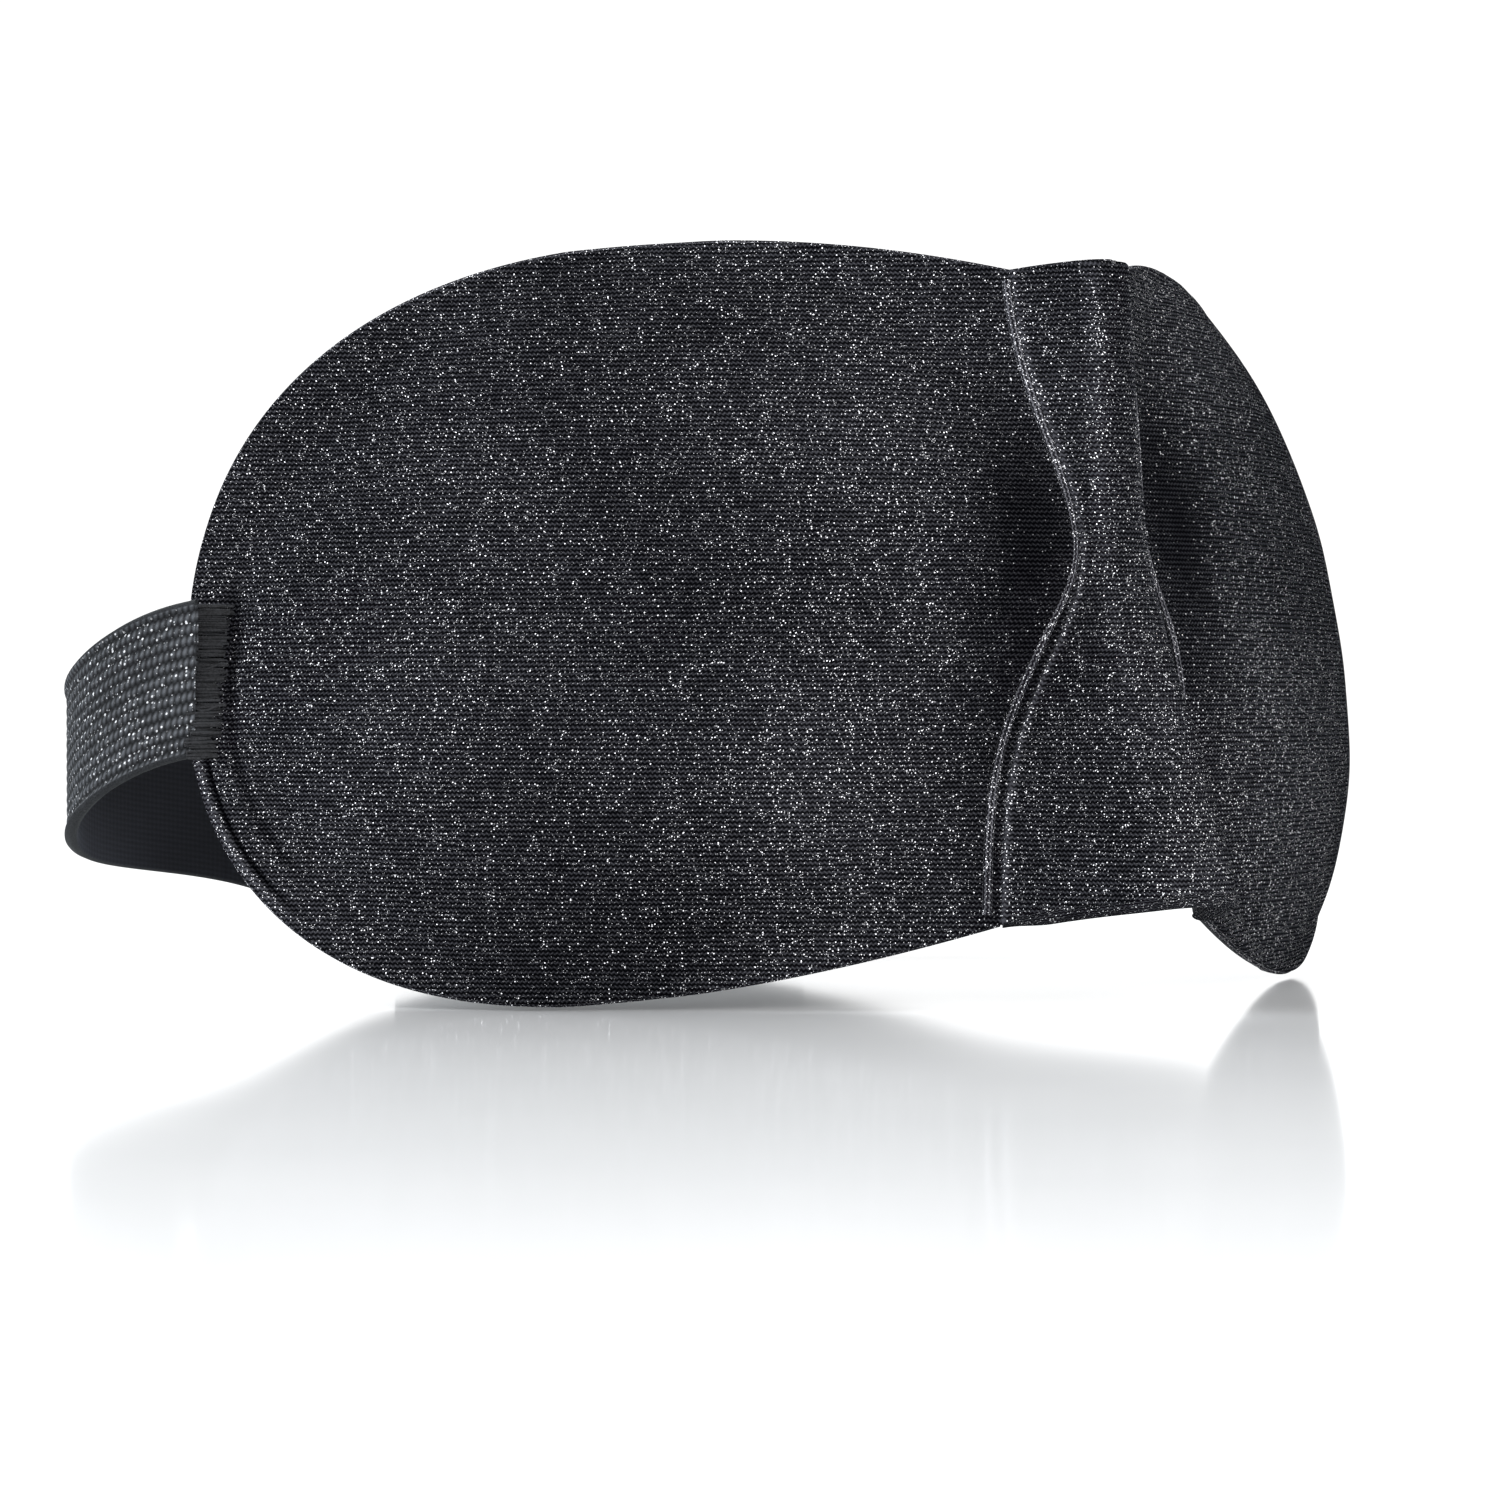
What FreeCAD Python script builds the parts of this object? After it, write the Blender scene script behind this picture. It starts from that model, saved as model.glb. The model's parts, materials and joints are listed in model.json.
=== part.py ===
import FreeCAD, Part
import math
import os

# A contoured sleep mask: two domed eye cups and a nose bridge, each of outer knit, foam and lining,
# with an elastic head strap that closes at the back with hook and loop.
# Millimetres. -Y is the front, +Z is up, and left and right are as seen from the front (left is -X).
# A place on one half is given by s (outwards from the nose), d (forwards) and t (height).

Vector = FreeCAD.Vector

# Cup outline
cup_length = 107.6          # nose line to outer end, along the half
cup_height = 95.5           # lowest to highest point of the edge
belt_height = 42.0          # height of the widest point
half_bridge = 10.5          # each half starts this far from the middle plane
sweep = math.radians(39.3)  # each half swings back by this angle
lean = 0.15                 # the standing mask leans back by this much per mm of height
top_crown = 40.0            # s of the highest point
low_crown = 60.0            # s of the lowest point
top_power = 2.35            # roundness of the upper outer corner
low_power = 2.3             # roundness of the lower outer corner
top_drop = 5.0              # fall of the upper edge towards the nose
top_drop_power = 2.0
low_rise = 11.5             # rise of the lower edge towards the nose
low_rise_power = 1.6

# Crease between cup and nose
crease_s = 4.0              # s of the crease at its ends
crease_bulge = 9.6          # how far it bulges to the nose
crease_height = 55.5        # height of the bulge
crease_spread_up = 22.0
crease_spread_down = 18.0
crease_fade = 4             # how fast the cup's columns straighten away from the crease
crease_gap = 1.2            # free width between cup and nose layers

# Dome and padding
dome_height = 13.0
dome_power = 2.6
dome_round = 2.4
dome_centre = 50.0
flange = 6.5                # flat border at the outer end
centre_thick = 4.5
rim_thick = 6.8
edge_thick = 2.6
rim_start = 0.45
rim_spread = 0.35
edge_start = 0.86
fabric_thick = 0.8
lining_thick = 0.6
layer_gap = 0.06
stitch_gap = 0.5            # clearance of thread pieces over the formed knit
seam_gap = 0.25             # clearance of an edge seam outside the padding
thread_thick = 0.5

# Nose ridge
ridge_reach = 2.9           # forward reach at the top
ridge_slope = 0.058         # more reach per mm downwards
ridge_flare = 13.0          # extra reach at the bottom
flare_start = 64.0          # height where the flare begins
flare_length = 54.0
ridge_half = 3.25           # half width of the ridge front at the top
ridge_widen = 3.75          # added half width at the bottom
widen_power = 1.5
ridge_taper = 0.6           # the corner comes in by this much per mm of depth
ridge_round = 2.4           # softness of the ridge corners
nose_thick = 3.0
nose_arch = 3.4             # rise of the lower edge at the middle
nose_crown = 1.0            # rise of the upper edge at the middle
lip_height = 1.5

# Edge pieces
welt_inset = 0.8
welt_width = 2.2
welt_thick = 0.8
welt_gap = 0.9              # clearance under the welt, where the knit rounds into the crease
seam_width = 1.2
tack_length = 4.6
tack_columns = 3
tack_rows = 4
tack_thick = 0.45

# Head strap
strap_width = 20.0
strap_thick = 1.4
strap_height = 40.0         # middle of the sewn end above the floor
tab_gap = 1.48              # from the lower corner of the tab to the strap end
strap_back = 45.0           # strap back behind the sewn ends
straight_half = 40.0        # half length of the straight back
strap_sag = 0.003           # lower edge height at the back is this times x squared
route_offsets = (           # points of the strap's lower middle line, from its sewn end
    (-31.0, 40.0, -18.2),
    (-6.5, 30.3, -14.6),
    (3.5, 22.8, -12.2),
    (7.5, 14.8, -8.2),
    (6.0, 7.3, -3.6),
)
end_heading = (-1, -1, 0.3)  # direction in which the strap runs into the tab
join_gap = 0.3
side_share = 0.53           # share of each half strap, from the back, that stays rigid
patch_half = 31.0
patch_inset = 1.0
patch_thick = 1.2
hook_inner = -24.0
hook_outer = 18.0
hook_thick = 1.1
webbing_thick = 1.2
tab_inner = -34.0
tip_length = 8.0
peel_x = 21.0
peel_gap = 0.6
base_outer = 34.0
closure_gap = 0.3
stitch_inset = 1.6

# Sampling of the formed surfaces
cup_columns = (0.0, 0.03, 0.07, 0.14, 0.23, 0.33, 0.43, 0.53, 0.62, 0.71, 0.79, 0.86, 0.92, 0.96, 1.0)
cup_rows = (0.0, 0.03, 0.07, 0.12, 0.18, 0.25, 0.33, 0.42, 0.52, 0.62, 0.72, 0.81, 0.89, 0.95, 1.0)
nose_columns = (-1.0, -0.86, -0.7, -0.54, -0.38, -0.2, 0.0, 0.2, 0.38, 0.54, 0.7, 0.86, 1.0)
nose_rows = (0.0, 0.1, 0.22, 0.35, 0.48, 0.61, 0.74, 0.87, 1.0)
strip_steps = 24
welt_steps = 12
top_share = 0.30            # share of the upper edge that runs straight to the nose
low_share = 0.45

# Derived
top_rise = cup_height - belt_height
lean_height = cup_height / 2
dome_end = cup_length - flange
tab_low = strap_height - strap_width / 2
tab_high = strap_height + strap_width / 2
loop_inner = strap_thick / 2 + layer_gap
loop_outer = loop_inner + patch_thick
hook_near = loop_outer + closure_gap
hook_far = hook_near + hook_thick
web_near = hook_far + layer_gap
web_far = web_near + webbing_thick


def smooth(x):
    x = min(1.0, max(0.0, x))
    return x * x * (3 - 2 * x)


def place(side, s, d, t):
    """Point of one half: side is -1 for the left half and +1 for the right."""
    forward = d + lean * (lean_height - t)
    x = half_bridge + s * math.cos(sweep) + forward * math.sin(sweep)
    y = s * math.sin(sweep) - forward * math.cos(sweep)
    return Vector(side * x, y, t)


def crease(t):
    spread = crease_spread_up if t > crease_height else crease_spread_down
    return crease_s - crease_bulge * math.exp(-((t - crease_height) / spread) ** 2)


def edge_height(s, crown, rise, power, drop, drop_power):
    if s < crown:
        return belt_height + rise - drop * ((crown - s) / crown) ** drop_power
    reach = min(1.0, (s - crown) / (cup_length - crown))
    return belt_height + rise * (1 - reach ** power) ** (1 / power)


def top_height(s):
    return edge_height(s, top_crown, top_rise, top_power, top_drop, top_drop_power)


def low_height(s):
    return edge_height(s, low_crown, -belt_height, low_power, -low_rise, low_rise_power)


def edge_s(u, share, crown, rise, power, tab_height):
    """s along an edge: an even run from the crease to the crown, then round to the strap tab."""
    if u < share:
        return crease_s + crease_gap / 2 + (crown - crease_s - crease_gap / 2) * u / share
    tab_reach = (1 - ((tab_height - belt_height) / rise) ** power) ** (1 / power)
    end_turn = math.asin(tab_reach ** (power / 2))
    turn = end_turn * (u - share) / (1 - share)
    return crown + (cup_length - crown) * math.sin(turn) ** (2 / power)


def cup_place(u, v):
    """(s, t) on one cup: u runs from the crease to the strap tab and v from bottom to top."""
    high_s = edge_s(u, top_share, top_crown, top_rise, top_power, tab_high)
    low_s = edge_s(u, low_share, low_crown, -belt_height, low_power, tab_low)
    t = low_height(low_s) * (1 - v) + top_height(high_s) * v
    s = low_s * (1 - v) + high_s * v
    return s + (crease(t) - crease_s) * (1 - u) ** crease_fade, t


def dome_share(s, t):
    """0 at the middle of the dome and 1 at its foot."""
    low = low_height(s)
    high = top_height(s)
    across = min(1.0, abs(2 * t - low - high) / max(high - low, edge_thick))
    if s > dome_centre:
        along = (s - dome_centre) / (dome_end - dome_centre)
    else:
        along = (dome_centre - s) / (dome_centre - crease(t))
    return min(1.0, (across ** dome_round + along ** dome_round) ** (1 / dome_round))


def dome_front(s, t):
    return dome_height * (1 - dome_share(s, t) ** dome_power)


def padding(s, t):
    share = dome_share(s, t)
    full = centre_thick + (rim_thick - centre_thick) * smooth((share - rim_start) / rim_spread)
    return full + (edge_thick - full) * smooth((share - edge_start) / (1 - edge_start))


def spline_face(grid):
    surface = Part.BSplineSurface()
    surface.interpolate(grid)
    return surface


def closed_solid(faces):
    shell = Part.makeShell(faces)
    shell.sewShape()
    solid = Part.makeSolid(shell)
    if solid.Volume < 0:
        solid.reverse()
    return solid


def slab(front, back):
    """Solid between two grids of points, with straight sides."""
    near = spline_face(front)
    far = spline_face(back)
    faces = [near.toShape(), far.toShape()]
    sides = (
        (near.uIso(near.bounds()[0]), far.uIso(far.bounds()[0])),
        (near.uIso(near.bounds()[1]), far.uIso(far.bounds()[1])),
        (near.vIso(near.bounds()[2]), far.vIso(far.bounds()[2])),
        (near.vIso(near.bounds()[3]), far.vIso(far.bounds()[3])),
    )
    for near_side, far_side in sides:
        faces.append(Part.makeRuledSurface(near_side.toShape(), far_side.toShape()))
    return closed_solid(faces)


def bar(rails):
    """Solid along four rails, given in order round its section."""
    edges = []
    for rail in rails:
        curve = Part.BSplineCurve()
        curve.interpolate(rail)
        edges.append(curve.toShape())
    faces = []
    for edge, following in zip(edges, edges[1:] + edges[:1]):
        faces.append(Part.makeRuledSurface(edge, following))
    for end in (0, -1):
        corners = [rail[end] for rail in rails]
        faces.append(Part.Face(Part.makePolygon(corners + corners[:1])))
    return closed_solid(faces)


def spread(start, end, count):
    return [start + (end - start) * i / count for i in range(count + 1)]


def cup_layer(side, depth):
    """Grid on one cup; depth gives the distance behind the front from the full thickness."""
    grid = []
    for u in cup_columns:
        row = []
        for v in cup_rows:
            s, t = cup_place(u, v)
            row.append(place(side, s, dome_front(s, t) - depth(padding(s, t)), t))
        grid.append(row)
    return grid


def cup_fabric(side):
    return slab(cup_layer(side, lambda full: 0.0), cup_layer(side, lambda full: fabric_thick))


def cup_foam(side):
    front = cup_layer(side, lambda full: fabric_thick + layer_gap)
    back = cup_layer(side, lambda full: full - lining_thick - layer_gap)
    return slab(front, back)


def cup_lining(side):
    return slab(cup_layer(side, lambda full: full - lining_thick), cup_layer(side, lambda full: full))


def crease_welt(side):
    """Raised welt on the cup along the crease."""
    near = []
    far = []
    for v in spread(stitch_gap / cup_height, 1 - stitch_gap / cup_height, welt_steps):
        edge, t = cup_place(0.0, v)
        low = []
        high = []
        for across in (0.0, 0.5, 1.0):
            s = edge + welt_inset + welt_width * across
            lift = dome_front(s, t) + welt_gap
            crown = welt_thick * (1 - (2 * across - 1) ** 2)
            low.append(place(side, s, lift, t))
            high.append(place(side, s, lift + tack_thick + crown, t))
        near.append(high)
        far.append(low)
    return slab(near, far)


def edge_seam(side, v):
    """Sewn seam along the upper or lower edge, between knit and lining."""
    share, crown, rise = (top_share, top_crown, top_rise) if v else (low_share, low_crown, -belt_height)
    power, tab = (top_power, tab_high) if v else (low_power, tab_low)
    height = top_height if v else low_height
    middle = edge_thick / 2
    rails = [[], [], [], []]
    for u in spread(0.0, 1.0, strip_steps):
        s = edge_s(u, share, crown, rise, power, tab)
        t = height(s)
        out = Vector(s - dome_centre, t - belt_height, 0).normalize()
        for rail, reach, depth in zip(
            rails,
            (seam_gap, seam_gap + thread_thick, seam_gap + thread_thick, seam_gap),
            (middle - seam_width / 2, middle - seam_width / 2, middle + seam_width / 2, middle + seam_width / 2),
        ):
            rail.append(place(side, s + out.x * reach, -depth, t + out.y * reach))
    return bar(rails)


def bar_tack(side):
    """Dense zigzag stitching that holds the strap end."""
    near = []
    far = []
    for s in spread(dome_end + thread_thick, dome_end + tack_length, tack_columns):
        low = []
        high = []
        for t in spread(tab_low + patch_inset, tab_high - patch_inset, tack_rows):
            low.append(place(side, s, stitch_gap, t))
            high.append(place(side, s, stitch_gap + tack_thick, t))
        near.append(high)
        far.append(low)
    return slab(near, far)


def ridge_front(t):
    share = smooth((flare_start - t) / flare_length)
    return ridge_reach + ridge_slope * (cup_height - t) + ridge_flare * share


def nose_bottom(across):
    return low_height(crease_s) + nose_arch * (1 - across ** 2)


def nose_top(across):
    return top_height(crease_s) + nose_crown * (1 - across ** 2)


def nose_point(across, t, depth):
    """Point of the nose ridge: across runs from -1 to 1 and depth is measured inwards."""
    foot = place(1, crease(t) - crease_gap / 2, -depth, t)
    widen = max(0.0, (flare_start - t) / flare_length)
    corner = ridge_half + ridge_widen * widen ** widen_power - ridge_taper * depth
    front = -(ridge_front(t) - depth)

    def fall(x):
        return (x + math.hypot(x, ridge_round)) / 2

    start = fall(-corner)
    share = (fall(abs(across) * foot.x - corner) - start) / (fall(foot.x - corner) - start)
    return Vector(across * foot.x, front + (foot.y - front) * share, t)


def nose_layer(depth):
    grid = []
    for across in nose_columns:
        row = []
        for v in nose_rows:
            t = nose_bottom(across) * (1 - v) + nose_top(across) * v
            row.append(nose_point(across, t, depth))
        grid.append(row)
    return grid


def nose_lip():
    """Rolled lower edge of the nose ridge."""
    rails = [[], [], [], []]
    for across in nose_columns:
        t = nose_bottom(across) - layer_gap
        for rail, depth, drop in zip(rails, (0.0, nose_thick, nose_thick, 0.0), (0.0, 0.0, lip_height, lip_height)):
            point = nose_point(across, t, depth)
            rail.append(Vector(point.x, point.y, t - drop))
    return bar(rails)


def strap_route():
    """Lower middle line of half the strap, from the straight back to the sewn end."""
    tab_s = edge_s(1.0, low_share, low_crown, -belt_height, low_power, tab_low)
    end = place(1, tab_s + tab_gap, -edge_thick / 2, tab_low)
    back = end.y + strap_back
    points = [Vector(straight_half, back, strap_sag * straight_half ** 2)]
    for offset in route_offsets:
        points.append(end + Vector(*offset))
    points.append(end)
    curve = Part.BSplineCurve()
    first = Vector(1, 0, 2 * strap_sag * straight_half)
    curve.interpolate(Points=points, InitialTangent=first, FinalTangent=Vector(*end_heading))
    return curve, back


route_curve, route_back = strap_route()
route_length = straight_half + route_curve.length()
rigid_end = route_length * side_share


def strap_point(reach, offset, height):
    """reach is the distance along the strap from the back centre, negative on the -X side."""
    side = -1 if reach < 0 else 1
    if abs(reach) <= straight_half:
        base = Vector(abs(reach), route_back, strap_sag * reach ** 2)
        out = Vector(0, 1, 0)
    else:
        at = route_curve.parameterAtDistance(min(abs(reach), route_length) - straight_half)
        base = route_curve.value(at)
        along = route_curve.tangent(at)[0]
        out = Vector(-along.y, along.x, 0).normalize()
    point = base + out * offset + Vector(0, 0, height)
    return Vector(side * point.x, point.y, point.z)


def strap_bar(start, end, near, far, low=0.0, high=strap_width, shift=None):
    """Stretch of strap; near and far are offsets outwards, and shift adds to them along the way."""
    rails = [[], [], [], []]
    for reach in spread(start, end, strip_steps):
        extra = shift(reach) if shift else 0.0
        for rail, offset, height in zip(rails, (near, far, far, near), (low, low, high, high)):
            rail.append(strap_point(reach, offset + extra, height))
    return bar(rails)


def thread_frame(start, end, near):
    """Rectangle of stitching just outside a patch."""
    far = near + thread_thick
    low = stitch_inset
    high = strap_width - stitch_inset
    outline = strap_bar(start, end, near, far, low, high)
    inside = strap_bar(
        start + thread_thick, end - thread_thick, near - far, far * 2, low + thread_thick, high - thread_thick
    )
    return outline.cut(inside).Solids[0]


def outer_shift(reach):
    """The right strap lies outside the closure and comes back to the common line at the side."""
    full = (web_near + web_far) / 2
    return full * (1 - smooth((reach - base_outer) / (rigid_end - base_outer)))


def build():
    """Every piece by name."""
    pieces = {}
    pieces["nose_outer_fabric"] = slab(nose_layer(0.0), nose_layer(fabric_thick))
    foam_back = nose_thick - lining_thick - layer_gap
    pieces["nose_foam"] = slab(nose_layer(fabric_thick + layer_gap), nose_layer(foam_back))
    pieces["nose_lining"] = slab(nose_layer(nose_thick - lining_thick), nose_layer(nose_thick))
    pieces["nose_lower_lip"] = nose_lip()
    for name, side in (("left", -1), ("right", 1)):
        pieces[name + "_outer_fabric"] = cup_fabric(side)
        pieces[name + "_foam_cup"] = cup_foam(side)
        pieces[name + "_lining"] = cup_lining(side)
        pieces[name + "_crease_welt"] = crease_welt(side)
        pieces[name + "_upper_edge_seam"] = edge_seam(side, 1)
        pieces[name + "_lower_edge_seam"] = edge_seam(side, 0)
        pieces[name + "_bar_tack"] = bar_tack(side)
    half = strap_thick / 2
    pieces["left_strap_side"] = strap_bar(-route_length, -rigid_end - join_gap, -half, half)
    pieces["left_strap_back"] = strap_bar(-rigid_end, base_outer, -half, half)
    patch_high = strap_width - patch_inset
    pieces["loop_patch"] = strap_bar(-patch_half, patch_half, loop_inner, loop_outer, patch_inset, patch_high)
    pieces["loop_patch_stitching"] = thread_frame(-patch_half, patch_half, -half - thread_thick - layer_gap)
    pieces["right_strap_back"] = strap_bar(base_outer + join_gap, rigid_end, -half, half, shift=outer_shift)
    pieces["right_strap_side"] = strap_bar(rigid_end + join_gap, route_length, -half, half)
    pieces["hook_base_webbing"] = strap_bar(peel_x + peel_gap, base_outer, web_near, web_far)
    pieces["hook_base_stitching"] = thread_frame(
        peel_x + peel_gap + stitch_inset, base_outer - stitch_inset, web_far + layer_gap
    )
    pieces["hook_tab_webbing"] = strap_bar(tab_inner, peel_x - peel_gap, web_near, web_far)
    pieces["hook_patch"] = strap_bar(hook_inner, hook_outer, hook_near, hook_far, patch_inset, patch_high)
    pieces["hook_patch_stitching"] = thread_frame(hook_inner, hook_outer, web_far + layer_gap)
    tip_near = web_far + layer_gap
    pieces["hook_tab_tip"] = strap_bar(tab_inner, tab_inner + tip_length, tip_near, tip_near + webbing_thick)
    return pieces


def standing(pieces):
    """Move everything so that the origin is the bottom centre of the mask's box."""
    box = FreeCAD.BoundBox()
    for shape in pieces.values():
        box.add(shape.optimalBoundingBox(True, False))
    return Vector(0, -(box.YMin + box.YMax) / 2, -box.ZMin)


if __name__ == "__main__":
    os.makedirs("parts", exist_ok=True)
    made = build()
    move = standing(made)
    for node, shape in made.items():
        shape.translate(move)
        shape.exportStep("parts/" + node + ".step")
        print(node, len(shape.Solids), shape.isValid(), round(shape.Volume, 1))
    print("moved by", move)
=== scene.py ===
import bpy
import json
import math
import random
import numpy as np
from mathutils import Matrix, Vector


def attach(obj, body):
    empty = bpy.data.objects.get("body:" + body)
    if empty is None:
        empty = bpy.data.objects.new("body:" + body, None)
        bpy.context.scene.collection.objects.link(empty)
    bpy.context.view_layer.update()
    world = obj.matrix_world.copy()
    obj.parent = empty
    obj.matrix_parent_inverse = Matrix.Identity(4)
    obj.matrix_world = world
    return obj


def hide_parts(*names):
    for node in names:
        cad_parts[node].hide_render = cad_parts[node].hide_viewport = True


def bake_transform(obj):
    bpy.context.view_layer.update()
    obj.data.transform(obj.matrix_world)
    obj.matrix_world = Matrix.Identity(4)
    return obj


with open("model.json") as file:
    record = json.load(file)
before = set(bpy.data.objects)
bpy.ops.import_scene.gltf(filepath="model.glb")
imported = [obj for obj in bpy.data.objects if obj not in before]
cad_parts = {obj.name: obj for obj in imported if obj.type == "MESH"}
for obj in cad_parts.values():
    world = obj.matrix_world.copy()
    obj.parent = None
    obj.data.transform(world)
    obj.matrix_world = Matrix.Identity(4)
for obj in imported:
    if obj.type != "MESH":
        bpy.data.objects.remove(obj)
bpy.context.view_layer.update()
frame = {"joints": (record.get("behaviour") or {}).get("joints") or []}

joints = {j["name"]: j for j in frame["joints"]}
mm = 0.001
random.seed(11)
bpy.context.scene.view_settings.view_transform = "Standard"
print("frame loaded")

# the moulded halves, in mm: s runs out from the nose, d forwards, t up
cup = {
    "length": 107.6, "height": 95.5, "belt": 42.0, "halfBridge": 10.5,
    "sweep": math.radians(39.3), "lean": 0.15,
    "topCrown": 40.0, "topPower": 2.35, "topDrop": 5.0, "topDropPower": 2.0, "topShare": 0.30,
    "lowCrown": 60.0, "lowPower": 2.3, "lowRise": 11.5, "lowRisePower": 1.6, "lowShare": 0.45,
    "tabLow": 30.0, "tabHigh": 50.0,
    "creaseS": 4.0, "creaseBulge": 9.6, "creaseHeight": 55.5, "creaseUp": 22.0, "creaseDown": 18.0,
    "creaseFade": 4,
    "domeHeight": 13.0, "domePower": 2.6, "domeRound": 2.4, "domeCentre": 50.0, "flange": 6.5,
    "centreThick": 4.5, "rimThick": 6.8, "edgeThick": 2.6,
    "rimStart": 0.45, "rimSpread": 0.35, "edgeStart": 0.86,
    "knit": 0.8, "lining": 0.6, "gap": 0.06, "foldS": -0.5,
}
ridge = {
    "reach": 2.9, "slope": 0.058, "flare": 13.0, "flareStart": 64.0, "flareLength": 54.0,
    "half": 3.25, "widen": 3.75, "softTop": 1.7, "softLow": 3.0,
    "widenPower": 1.5, "cornerDepth": 0.6, "softDepth": 0.4,
    "thick": 3.0, "taper": 0.6, "arch": 3.4, "crown": 1.0,
}
fold = {"start": 4.5, "end": 19.0}      # mm from the middle plane where a half starts and ends turning
# how many rows and columns a half's sheets have, and how they crowd towards folds and rims
weave = {
    "rows": 118, "rowCrowd": 0.08, "ridgeColumns": 40, "ridgeCrowd": 1.6,
    "creaseColumns": 16, "creaseShare": 0.034, "cupColumns": 92, "rimSteps": 5,
}
nowhere = 99.0      # mm, for places that a rim or a corner never reaches


def smooth(x):
    x = np.clip(x, 0.0, 1.0)
    return x * x * (3 - 2 * x)


def bump(x, middle, width):
    return np.exp(-((x - middle) / width) ** 2)


def mound(x, shape):
    place, width, height = shape
    return bump(x, place, width) * height


def ramp(x, start, end):
    # 0 at the start and 1 at the end, whichever of them is higher
    return smooth((x - start) / (end - start))


def unit(v):
    return v / np.maximum(np.linalg.norm(v, axis=-1, keepdims=True), 1e-12)


def rawPlace(side, s, d, t):
    forward = d + cup["lean"] * (cup["height"] / 2 - t)
    x = cup["halfBridge"] + s * math.cos(cup["sweep"]) + forward * math.sin(cup["sweep"])
    y = s * math.sin(cup["sweep"]) - forward * math.cos(cup["sweep"])
    return np.stack(np.broadcast_arrays(side * x, y, t), -1) * mm


# the fold axis in the record tells where the drawing stands in the frame
foldPoint = rawPlace(-1, cup["foldS"], -cup["edgeThick"] / 2, cup["height"] / 2)
shift = np.array(joints["left_fold"]["pos_m"]) - foldPoint


def place(side, s, d, t):
    return rawPlace(side, np.asarray(s, float), np.asarray(d, float), np.asarray(t, float)) + shift


def crease(t):
    spread = np.where(t > cup["creaseHeight"], cup["creaseUp"], cup["creaseDown"])
    return cup["creaseS"] - cup["creaseBulge"] * bump(t, cup["creaseHeight"], spread)


def edgeHeight(s, crown, rise, power, drop, dropPower):
    inner = cup["belt"] + rise - drop * (np.clip(crown - s, 0, None) / crown) ** dropPower
    reach = np.clip((s - crown) / (cup["length"] - crown), 0.0, 1.0)
    outer = cup["belt"] + rise * (1 - reach ** power) ** (1 / power)
    return np.where(s < crown, inner, outer)


def topEdge(s):
    rise = cup["height"] - cup["belt"]
    return edgeHeight(s, cup["topCrown"], rise, cup["topPower"], cup["topDrop"], cup["topDropPower"])


def lowEdge(s):
    return edgeHeight(s, cup["lowCrown"], -cup["belt"], cup["lowPower"], -cup["lowRise"], cup["lowRisePower"])


def edgeStation(u, share, crown, rise, power, tab):
    reach = (1 - ((tab - cup["belt"]) / rise) ** power) ** (1 / power)
    turn = math.asin(reach ** (power / 2)) * np.clip((u - share) / (1 - share), 0, 1)
    outer = crown + (cup["length"] - crown) * np.sin(turn) ** (2 / power)
    return np.where(u < share, cup["creaseS"] + (crown - cup["creaseS"]) * u / share, outer)


def cupPlace(u, v):
    rise = cup["height"] - cup["belt"]
    high = edgeStation(u, cup["topShare"], cup["topCrown"], rise, cup["topPower"], cup["tabHigh"])
    low = edgeStation(u, cup["lowShare"], cup["lowCrown"], -cup["belt"], cup["lowPower"], cup["tabLow"])
    t = lowEdge(low) * (1 - v) + topEdge(high) * v
    s = low * (1 - v) + high * v
    return s + (crease(t) - cup["creaseS"]) * (1 - u) ** cup["creaseFade"], t


def domeShare(s, t):
    low, high = lowEdge(s), topEdge(s)
    across = np.clip(np.abs(2 * t - low - high) / np.maximum(high - low, cup["edgeThick"]), 0, 1)
    domeEnd = cup["length"] - cup["flange"]
    outward = (s - cup["domeCentre"]) / (domeEnd - cup["domeCentre"])
    inward = (cup["domeCentre"] - s) / (cup["domeCentre"] - crease(t))
    along = np.clip(np.where(s > cup["domeCentre"], outward, inward), 0, None)
    power = cup["domeRound"]
    return np.clip((across ** power + along ** power) ** (1 / power), 0, 1)


def borderDistance(s, t):
    # mm in from the round outer outline, as a formula of the two corner curves
    found = np.full(np.shape(s), nowhere)
    shapes = ((cup["topCrown"], cup["height"] - cup["belt"], cup["topPower"], t >= cup["belt"]),
              (cup["lowCrown"], cup["belt"], cup["lowPower"], t < cup["belt"]))
    for crown, rise, power, here in shapes:
        reach = np.clip((s - crown) / (cup["length"] - crown), 1e-3, 1)
        drop = np.clip(np.abs(t - cup["belt"]) / rise, 1e-3, 1)
        level = reach ** power + drop ** power
        slope = power * np.hypot(reach ** (power - 1) / (cup["length"] - crown), drop ** (power - 1) / rise)
        found = np.where(here & (s > crown), np.maximum(1 - level, 0) / slope, found)
    return found


def padding(share):
    extra = (cup["rimThick"] - cup["centreThick"]) * smooth((share - cup["rimStart"]) / cup["rimSpread"])
    full = cup["centreThick"] + extra
    return full + (cup["edgeThick"] - full) * smooth((share - cup["edgeStart"]) / (1 - cup["edgeStart"]))


def ridgeCorner(t):
    # share of the way down the flare, and mm from the middle plane to the ridge's corner
    down = np.clip((ridge["flareStart"] - t) / ridge["flareLength"], 0, 1)
    return down, ridge["half"] + ridge["widen"] * down ** ridge["widenPower"]


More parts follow.
